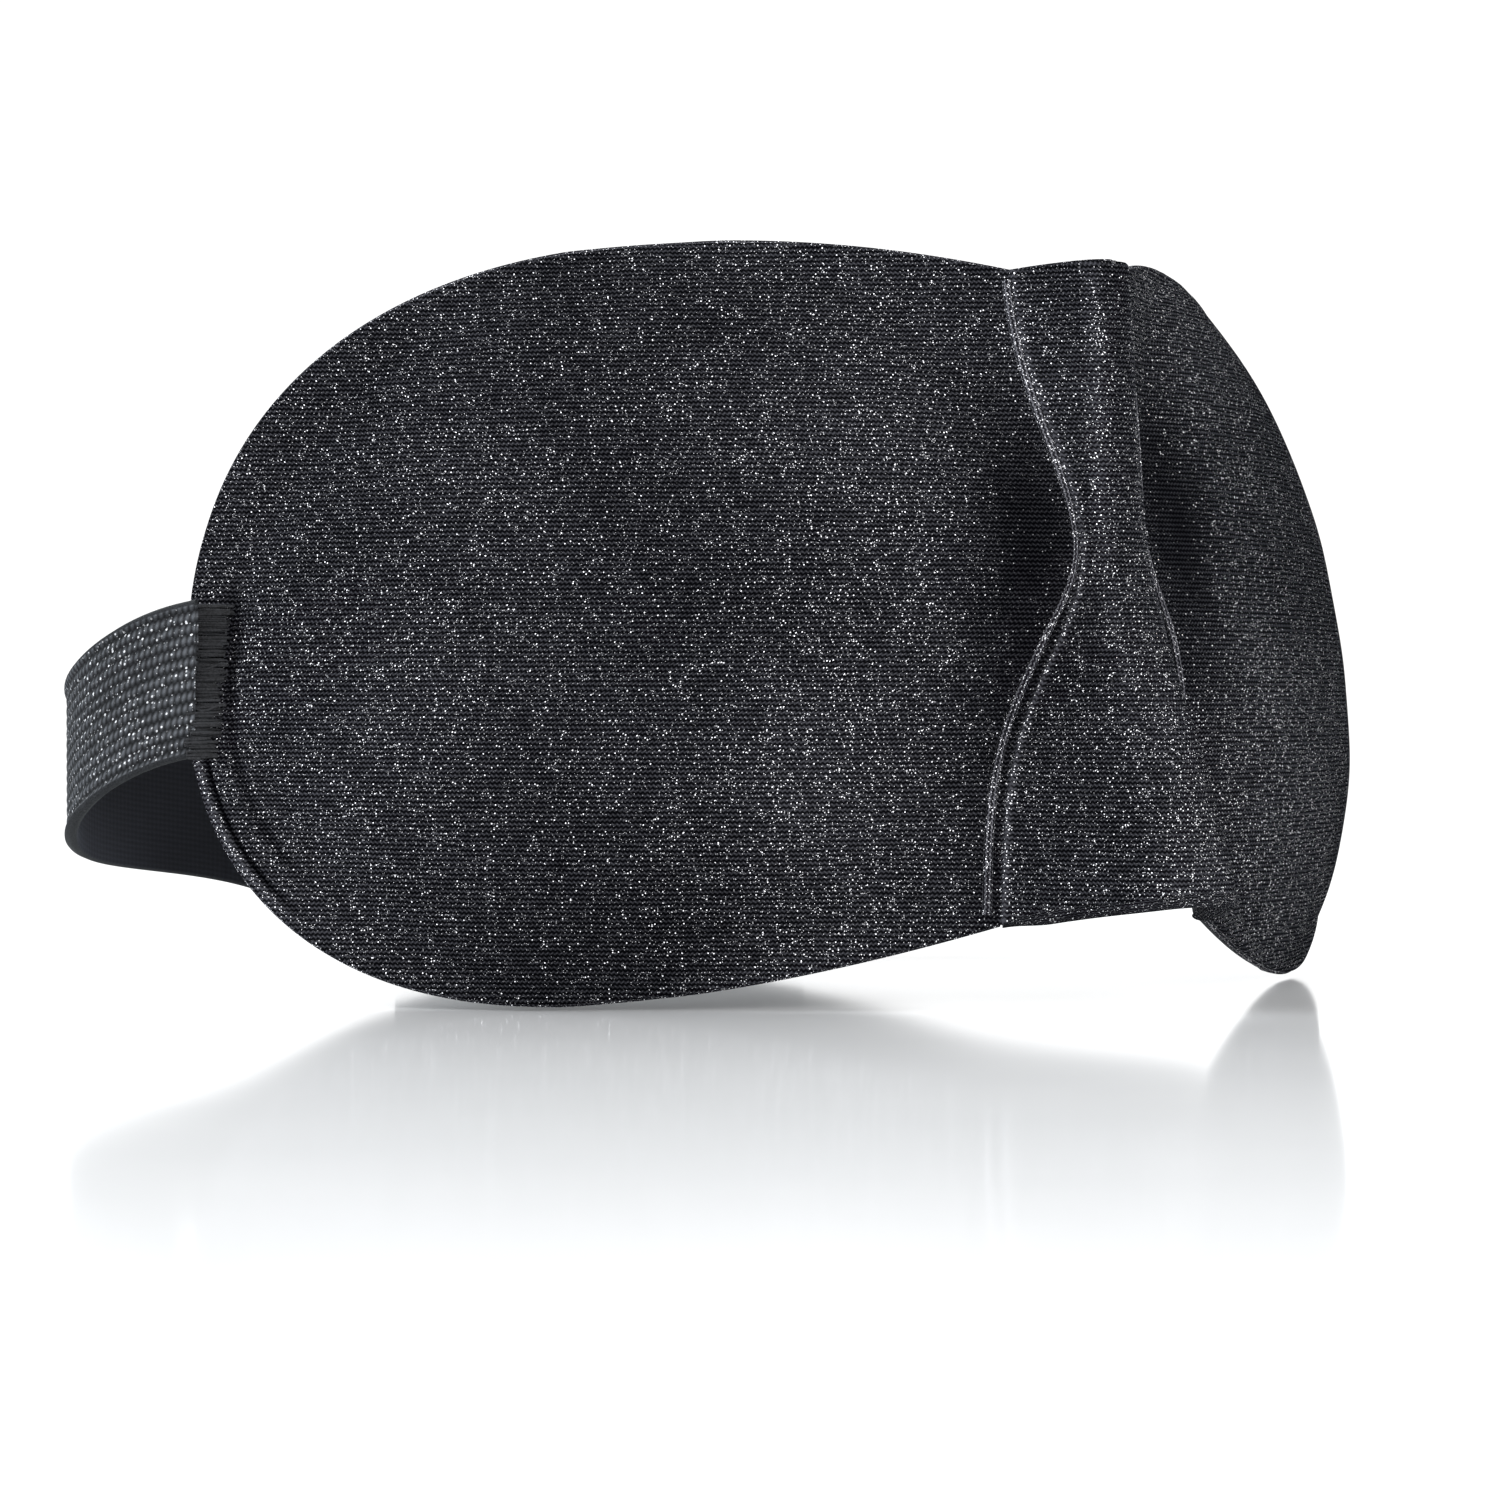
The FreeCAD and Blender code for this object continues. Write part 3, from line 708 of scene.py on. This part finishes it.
# outer knit, foam and lining of one half: where its cloth map starts, how its hems thicken,
# how round its edges are and how far the foam stops inside the cloth
sheets = {
    "mapStart": {-1: 40, 1: 240}, "hem": 0.5, "hemWide": 0.012, "knitRound": 0.9, "liningRound": 0.8,
    "foamRound": 0.3, "foamInset": 0.009, "foamEnd": 0.985,
}


def makeHalf(side):
    name = "left" if side < 0 else "right"
    rows = np.linspace(0, 1, weave["rows"])
    rows = rows - weave["rowCrowd"] * np.sin(2 * math.pi * rows)
    half = Half(side, rows)
    flat = np.stack([half.w + sheets["mapStart"][side], half.height], -1)
    front = half.sheet(lambda full: 0 * full)
    front = front + half.outward(front) * relief(half)[..., None] * mm
    hem = 1 + sheets["hem"] * sum(bump(rows, rim, sheets["hemWide"]) for rim in (0, 1))[None]
    back = half.sheet(lambda full: cup["knit"] * hem + 0 * full)
    nodes = ("nose_outer_fabric", name + "_outer_fabric")
    knit = layerPiece(name + "OuterKnit", front, back, flat, sheets["knitRound"], stretchAndPaintedLight(half))
    turning(dressed(knit, "knit", "knit", *nodes), side)

    inner = half.sheet(lambda full: full - cup["lining"] * hem)
    outer = half.sheet(lambda full: full)
    nodes = ("nose_lining", name + "_lining")
    lining = layerPiece(name + "Lining", inner, outer, flat, sheets["liningRound"])
    turning(dressed(lining, "lining", "lining", *nodes), side)

    core = Half(side, sheets["foamInset"] + rows[::2] * (1 - 2 * sheets["foamInset"]), sheets["foamEnd"])
    near = core.sheet(lambda full: cup["knit"] + cup["gap"] + 0 * full)
    far = core.sheet(lambda full: full - cup["lining"] - cup["gap"])
    coreFlat = np.stack([core.w, core.height], -1)
    nodes = ("nose_foam", name + "_foam_cup")
    foam = layerPiece(name + "Foam", near, far, coreFlat, sheets["foamRound"])
    turning(dressed(foam, "foam", "foam", *nodes), side)
    makeSeams(side, name, half)
    print(name, "half shaped")


seam = {
    "radius": 0.55, "reach": 0.3, "endShare": 0.4,
    "welt": 0.62, "weltLow": 1.9, "weltHigh": 0.5, "weltClear": 0.6, "weltSections": 110,
    "weltZone": (58, 44), "weltLift": 0.1, "weltDeep": 0.9,
    "waistWide": 9, "waistSink": 0.3, "waistAcross": 0.25, "waistDeep": 0.3,
    "lipDrop": 0.45, "lipAcross": 1.12, "lipHigh": 1.25, "lipFall": 0.6, "lipEnd": 0.8, "lipSides": 20,
}


def makeSeams(side, name, half):
    middle = half.sheet(lambda full: full / 2)
    front = half.sheet(lambda full: 0 * full)
    for edge, row, before in (("Upper", -1, -2), ("Lower", 0, 1)):
        first = 0 if row else weave["ridgeColumns"]
        centres = middle[first:, row]
        out = unit(centres - middle[first:, before])
        deep = unit(front[first:, row] - centres)
        radii = np.full((len(centres), 2), seam["radius"])
        radii[-1] *= seam["endShare"]
        line = centres + out * seam["reach"] * mm
        piece = tubePiece(name + edge + "Seam", line, out, deep, radii, runLength(line))
        turning(dressed(piece, "bead", "thread", name + "_" + edge.lower() + "_edge_seam"), side)

    # raised welt beside the crease
    foot, head = lowEdge(cup["creaseS"]) + seam["weltClear"], topEdge(cup["creaseS"]) - seam["weltClear"]
    t = np.linspace(foot, head, seam["weltSections"])
    s = crease(t) + seam["weltHigh"] + (seam["weltLow"] - seam["weltHigh"]) * ramp(t, *seam["weltZone"])
    waist = bump(t, cup["creaseHeight"], seam["waistWide"])
    dome = cup["domeHeight"] * (1 - domeShare(s, t) ** cup["domePower"])
    line = place(side, s, dome + seam["weltLift"] - seam["waistSink"] * waist, t)
    along = unit(np.gradient(line, axis=0))
    deep = unit(place(side, s, dome + 1.0, t) - line)
    radii = np.stack([1 - seam["waistAcross"] * waist, seam["weltDeep"] - seam["waistDeep"] * waist], -1)
    piece = tubePiece(name + "CreaseWelt", line, np.cross(along, deep), deep, seam["welt"] * radii, t)
    turning(dressed(piece, "bead", "knit", name + "_crease_welt"), side)

    # half of the rolled lower lip of the nose
    q = half.q[:, 0]
    t = noseHeight(q, 0) - seam["lipDrop"]
    near = ridgePlace(side, q, t, 0 * q)
    far = ridgePlace(side, q, t, half.noseFull[:, 0])
    deep = unit(near - far)
    size = np.linalg.norm(near - far, axis=-1) / mm / 2
    up = np.broadcast_to([0.0, 0.0, 1.0], deep.shape)
    high = seam["lipHigh"] - seam["lipFall"] * ramp(q, seam["lipEnd"], 1)
    radii = np.stack([size * seam["lipAcross"], high], -1)
    line = (near + far) / 2
    piece = tubePiece(name + "NoseLip", line, deep, up, radii, runLength(line), seam["lipSides"])
    turning(dressed(piece, "knit", "knit", "nose_lower_lip"), side)
    makeBarTack(side, name)


tack = {
    "pitch": 0.3, "inner": 102.0, "outer": 107.7, "low": 30.2, "high": 49.8, "radius": 0.17,
    "slant": 0.12, "middle": 40, "innerStray": (-0.8, 0.8), "outerStray": (-0.5, 0.4), "lift": (-0.1, 0.3),
    "stray": (-0.3, 0.3), "climb": 0.1, "share": (0.15, 0.85), "points": 4,
    "crossings": (36.6, 41.9), "crossing": (102.3, 106.6), "crossingPoints": 9, "crossingLift": 0.28,
}


def makeBarTack(side, name):
    line = []
    for i in range(int((tack["high"] - tack["low"]) / tack["pitch"])):
        t = tack["low"] + tack["pitch"] * i
        inner = tack["inner"] + (tack["middle"] - t) * tack["slant"] + random.uniform(*tack["innerStray"])
        outer = tack["outer"] + random.uniform(*tack["outerStray"])
        for outward in (False, True) if i % 2 else (True, False):
            share = np.linspace(*tack["share"], tack["points"]) if line else np.array([0.5])
            s = inner + (outer - inner) * (share if outward else 1 - share)
            lift = random.uniform(*tack["lift"])
            climb = random.uniform(*tack["stray"]) + np.linspace(0, tack["climb"], len(s))
            line.extend(place(side, s, lift, t + climb))
    runs = [np.array(line)]
    # two loose threads across the zigzag
    for t in tack["crossings"]:
        s = np.linspace(*tack["crossing"], tack["crossingPoints"])
        runs.append(place(side, s, tack["crossingLift"] + 0.1 * np.sin(s * 2), t + 0.35 * np.sin(s * 1.3)))
    piece = threadPiece(name + "BarTack", runs, tack["radius"])
    dressed(piece, "thread", "thread", name + "_bar_tack")
    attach(piece, name + "_cup")


# head strap, in mm along its lower middle line from the centre of the back
strap = {
    "width": 20.0, "thick": 1.4, "back": 45.0, "straight": 40.0, "sag": 0.003, "joinGap": 0.3,
    "rigidShare": 0.53, "ribs": 14, "rib": 0.2, "tuck": 1.6, "selvedge": 0.3,
    "patchHalf": 31.0, "patchInset": 1.0, "patchThick": 1.2, "hookInner": -24.0, "hookOuter": 18.0,
    "hookThick": 1.1, "tape": 1.2, "tabInner": -34.0, "tip": 8.0, "peel": 21.0, "peelGap": 0.6,
    "baseOuter": 34.0, "closure": 0.3, "stitchInset": 1.6,
    # bends of the line before the sewn end, as mm from it, and its heading there
    "bends": (
        (-31.0, 40.0, -18.2), (-6.5, 30.3, -14.6), (3.5, 22.8, -12.2), (7.5, 14.8, -8.2), (6.0, 7.3, -3.6),
    ),
    "heading": (-1, -1, 0.3), "spanPoints": 120, "probe": 0.5,
    "edgeRound": 0.5, "ribFade": 0.9, "selvedgePlace": (0.55, 0.5), "lip": 0.25, "endShare": 0.72,
    "tabLap": 0.4, "hookShy": 0.6, "patchStitch": 0.3, "baseStitch": 1.8, "tabStitch": 0.5,
}
stitch = {"pitch": 2.2, "length": 1.5, "radius": 0.2, "points": 5, "dive": 2.2}


class Route:
    # smooth line through the strap's points, from the straight back round to the sewn end
    def __init__(self):
        end = rawPlace(1, cup["length"] + strap["joinGap"], -cup["edgeThick"] / 2, cup["tabLow"]) / mm
        self.back = end[1] + strap["back"]
        start = [strap["straight"], self.back, strap["sag"] * strap["straight"] ** 2]
        points = np.array([start] + [end + np.array(bend) for bend in strap["bends"]] + [end])
        gaps = np.linalg.norm(np.diff(points, axis=0), axis=1)
        first = np.array([1, 0, 2 * strap["sag"] * strap["straight"]])
        last = unit(np.array(strap["heading"]))
        count = len(points)
        matrix = np.eye(count)
        sides = np.zeros((count, 3))
        sides[0], sides[-1] = first, last
        for i in range(1, count - 1):
            a, b = gaps[i - 1], gaps[i]
            matrix[i, i - 1:i + 2] = b, 2 * (a + b), a
            sides[i] = 3 * (b / a * (points[i] - points[i - 1]) + a / b * (points[i + 1] - points[i]))
        slopes = np.linalg.solve(matrix, sides)
        fine = []
        x = np.linspace(0, 1, strap["spanPoints"], endpoint=False)[:, None]
        for i, gap in enumerate(gaps):
            fine.append(
                (2 * x ** 3 - 3 * x ** 2 + 1) * points[i] + (x ** 3 - 2 * x ** 2 + x) * gap * slopes[i]
                + (3 * x ** 2 - 2 * x ** 3) * points[i + 1] + (x ** 3 - x ** 2) * gap * slopes[i + 1]
            )
        self.line = np.concatenate(fine + [points[-1:]])
        self.run = np.concatenate([[0], np.cumsum(np.linalg.norm(np.diff(self.line, axis=0), axis=1))])
        self.length = strap["straight"] + self.run[-1]

    def centre(self, reach):
        reach = np.asarray(reach, float)
        side = np.where(reach < 0, -1.0, 1.0)
        away = np.abs(reach)
        beyond = np.maximum(away - strap["straight"], 0)
        curve = np.stack([np.interp(beyond, self.run, self.line[:, i]) for i in range(3)], -1)
        past = np.maximum(beyond - self.run[-1], 0)[..., None]
        curve = curve + past * unit(self.line[-1] - self.line[-2])
        flat = np.stack([away, np.full_like(away, self.back), strap["sag"] * away ** 2], -1)
        point = np.where((away <= strap["straight"])[..., None], flat, curve)
        return point, side

    def place(self, reach, offset, height):
        point, side = self.centre(reach)
        ahead, _ = self.centre(np.abs(reach) + strap["probe"])
        behind, _ = self.centre(np.maximum(np.abs(reach) - strap["probe"], 0))
        along = unit(ahead - behind)
        out = unit(np.stack([-along[..., 1], along[..., 0], 0 * along[..., 0]], -1))
        point = point + out * np.asarray(offset)[..., None] + np.asarray(height)[..., None] * [0, 0, 1.0]
        point[..., 0] *= side
        return point * mm + shift

    def middle(self, reach, offset=0.0):
        return self.place(reach, offset, strap["width"] / 2)


route = Route()


def bandSection(low, high, near, far, ribs=0, rib=0.0):
    # offsets and heights round the band's section, outer face first
    count = max(ribs * 6, 12)
    up = np.linspace(0, 1, count + 1)
    edge = np.minimum(up, 1 - up) * (high - low)
    fade = smooth(edge / strap["ribFade"])
    outer = far - rib * fade * (0.5 + 0.5 * np.cos(2 * math.pi * ribs * up)) if ribs else far + 0 * up
    if ribs:
        outer = outer + strap["selvedge"] * bump(edge, *strap["selvedgePlace"])
    middle = (near + far) / 2
    pinch = np.sqrt(np.clip(1 - (1 - np.clip(edge / strap["edgeRound"], 0, 1)) ** 2, 0.02, 1))
    outer = middle + (outer - middle) * pinch
    inner = middle + (near - middle) * pinch
    heights = low + up * (high - low)
    return np.concatenate([outer, inner[::-1]]), np.concatenate([heights, heights[::-1]])


def bandPiece(name, start, end, low, high, near, far, step=1.2, extra=None, **section):
    offsets, heights = bandSection(low, high, near, far, **section)
    count = max(6, int(abs(end - start) / step))
    reach = np.linspace(start, end, count + 1)
    # two more sections close to each end round it off
    lip = min(strap["lip"], abs(end - start) / 8)
    reach = np.concatenate([[start, start + lip], reach[1:-1], [end - lip, end]])
    squeeze = np.ones(len(reach))
    squeeze[[0, -1]] = strap["endShare"]
    middle = (near + far) / 2
    level = middle + (offsets[None] - middle) * squeeze[:, None]
    if extra:
        level = level + extra(reach)[:, None]
    ring = route.place(reach[:, None] + 0 * offsets, level, heights[None] + 0 * level)
    around = np.concatenate([[0], np.cumsum(np.hypot(np.diff(offsets), np.diff(heights)))])
    flat = np.stack(np.broadcast_arrays(reach[:, None], heights[None] + 0 * around), -1)
    return gridPiece(name, ring, flat)


def innerFace(piece):
    # the band's inner face gets its own finish
    piece.data.materials.append(finishes["inside"])
    reaches = np.linspace(-route.length, route.length, 160)
    line = np.array([route.middle(r) for r in reaches])
    inward = unit(np.array([route.middle(r, -0.3) for r in reaches]) - line)
    for face in piece.data.polygons:
        k = np.argmin(np.linalg.norm((line - np.array(face.center))[:, :2], axis=1))
        if np.dot(inward[k], face.normal) > 0.6:
            face.material_index = 1
    return piece


def stitches(name, runs, offset):
    # short bent stitches along runs of (reach, height) on the strap
    threads = []
    pitch, points = stitch["pitch"], stitch["points"]
    arch = 1 - np.linspace(-1, 1, points) ** 2 * stitch["dive"]
    for run in runs:
        run = np.array(run, float)
        total = np.concatenate([[0], np.cumsum(np.linalg.norm(np.diff(run, axis=0), axis=1))])
        for k in range(int(total[-1] / pitch)):
            at = (k + 0.5) * pitch + np.linspace(-0.5, 0.5, points) * stitch["length"]
            reach = np.interp(at, total, run[:, 0])
            height = np.interp(at, total, run[:, 1])
            lift = offset + math.copysign(1, offset) * stitch["radius"] * arch
            threads.append(route.place(reach, lift, height))
    return threadPiece(name, threads, stitch["radius"])


def frameRun(start, end, inset):
    # the four sides of a stitched frame, inset from both ends
    start, end = start + inset, end - inset
    low = strap["stitchInset"] + 0.3
    corners = [(start, low), (end, low), (end, strap["width"] - low), (start, strap["width"] - low)]
    return [[corner, corners[(i + 1) % 4]] for i, corner in enumerate(corners)]


def makeStrap():
    half = strap["thick"] / 2
    width = strap["width"]
    rigid = route.length * strap["rigidShare"]
    gap = strap["joinGap"]
    loopNear = half + cup["gap"]
    loopFar = loopNear + strap["patchThick"]
    hookNear = loopFar + strap["closure"]
    hookFar = hookNear + strap["hookThick"]
    tapeNear = hookFar + cup["gap"]
    tapeFar = tapeNear + strap["tape"]

    def jog(reach):
        return (tapeNear + tapeFar) / 2 * (1 - ramp(reach, strap["baseOuter"], rigid))

    def elastic(name, start, end, **more):
        ribs = {"ribs": strap["ribs"], "rib": strap["rib"]}
        piece = bandPiece(name, start, end, 0, width, -half, half, **ribs, **more)
        return innerFace(dressed(piece, "elastic", "elastic"))

    def tape(name, start, end, near, **more):
        return bandPiece(name, start, end, 0, width, near, near + strap["tape"], **more)

    def patch(name, start, end, near, far):
        return bandPiece(name, start, end, strap["patchInset"], width - strap["patchInset"], near, far)

    for side, name in ((-1, "left"), (1, "right")):
        piece = elastic(name + "StrapSide", side * rigid, side * (route.length + strap["tuck"]))
        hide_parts(name + "_strap_side")
        start = route.middle(side * (route.length - 1))
        end = route.middle(side * (rigid + 3))
        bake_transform(piece)
    piece = elastic("leftStrapBack", -rigid, strap["baseOuter"])
    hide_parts("left_strap_back")
    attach(piece, "left_strap")
    piece = elastic("rightStrapBack", strap["baseOuter"] - gap, rigid, extra=jog)
    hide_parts("right_strap_back")
    start, end = route.middle(rigid - 3), route.middle(strap["baseOuter"] + 2)
    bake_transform(piece)

    loop = (-strap["patchHalf"], strap["patchHalf"])
    piece = patch("loopPatch", *loop, loopNear, loopFar)
    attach(dressed(piece, "loop", "hook_and_loop", "loop_patch"), "left_strap")
    piece = stitches("loopPatchStitching", frameRun(*loop, strap["patchStitch"]), -half - 0.05)
    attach(dressed(piece, "thread", "thread", "loop_patch_stitching"), "left_strap")

    base = (strap["peel"] + strap["peelGap"], strap["baseOuter"])
    piece = tape("hookBaseTape", *base, tapeNear)
    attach(dressed(piece, "webbing", "webbing", "hook_base_webbing"), "hook_end")
    piece = stitches("hookBaseStitching", frameRun(*base, strap["baseStitch"]), tapeFar + 0.03)
    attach(dressed(piece, "thread", "thread", "hook_base_stitching"), "hook_end")

    # the tab's tape runs on over the peel line
    piece = tape("hookTabTape", strap["tabInner"], base[0] + strap["tabLap"], tapeNear, step=0.5)
    dressed(piece, "webbing", "webbing", "hook_tab_webbing")
    bend = strap["peelGap"] + 0.9
    start = route.middle(strap["peel"] + bend, tapeFar)
    end = route.middle(strap["peel"] - bend, tapeFar)
    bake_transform(piece)
    hook = (strap["hookInner"], strap["hookOuter"])
    piece = patch("hookPatch", *hook, hookNear + strap["hookShy"], hookFar)
    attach(dressed(piece, "hook", "hook_and_loop", "hook_patch"), "hook_tab")
    piece = stitches("hookPatchStitching", frameRun(*hook, strap["tabStitch"]), tapeFar + 0.03)
    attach(dressed(piece, "thread", "thread", "hook_patch_stitching"), "hook_tab")
    piece = tape("hookTabTip", strap["tabInner"], strap["tabInner"] + strap["tip"], tapeFar + cup["gap"])
    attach(dressed(piece, "webbing", "webbing", "hook_tab_tip"), "hook_tab")
    print("strap and closure made")


# floor, lights and camera
studio = {
    "turn": 39.3, "distance": 0.585, "eyeHeight": 0.038, "focal": 110.5, "pan": 4.35, "tilt": -0.66,
    "floor": 40.0, "world": 1.12,
}
# metres to the right of, before and above the middle, then width, watts and colour
lamps = {
    "key": (0.36, 0.9, 0.3, 0.35, 12, (1, 1, 1)),
    "side": (-0.95, 0.3, 0.25, 0.4, 12, (0.9, 0.95, 1)),
    "back": (-0.3, -0.6, 0.75, 0.5, 2.5, (0.92, 0.97, 1)),
}


def areaLight(name, spot, target, width, power, colour):
    bpy.ops.object.light_add(type="AREA", location=spot)
    lamp = bpy.context.object
    lamp.name = name
    lamp.data.shape = "RECTANGLE"
    lamp.data.size = lamp.data.size_y = width
    lamp.data.energy = power
    lamp.data.color = colour
    lamp.rotation_euler = (target - spot).to_track_quat("-Z", "Y").to_euler()


def makeStudio():
    bpy.ops.mesh.primitive_plane_add(size=studio["floor"], location=(0, 0, -0.0006))
    floor = bpy.context.object
    floor.name = "floor"
    floor.data.uv_layers[0].name = "cloth"
    floor.data.materials.append(paleFloor())

    world = bpy.data.worlds.new("studio")
    world.use_nodes = True
    world.node_tree.nodes["Background"].inputs["Color"].default_value = (1, 1, 1, 1)
    world.node_tree.nodes["Background"].inputs["Strength"].default_value = studio["world"]
    bpy.context.scene.world = world

    turn = math.radians(studio["turn"])
    ahead = Vector((math.sin(turn), math.cos(turn), 0))
    right = Vector((math.cos(turn), -math.sin(turn), 0))
    middle = Vector((0, 0, 0.05))
    for name, (aside, away, up, *glow) in lamps.items():
        spot = middle - ahead * away + right * aside + Vector((0, 0, up))
        areaLight(name, spot, middle, *glow)

    data = bpy.data.cameras.new("camera")
    data.lens = studio["focal"]
    data.clip_start, data.clip_end = 0.05, 20
    camera = bpy.data.objects.new("camera", data)
    bpy.context.collection.objects.link(camera)
    camera.location = -ahead * studio["distance"] + Vector((0, 0, studio["eyeHeight"])) + Vector(shift)
    look = turn - math.radians(studio["pan"])
    tilt = math.radians(studio["tilt"])
    aim = Vector((math.sin(look) * math.cos(tilt), math.cos(look) * math.cos(tilt), math.sin(tilt)))
    camera.rotation_euler = aim.to_track_quat("-Z", "Y").to_euler()
    bpy.context.scene.camera = camera
    print("studio made")


makeFinishes()
for side in (-1, 1):
    makeHalf(side)
makeStrap()
makeStudio()
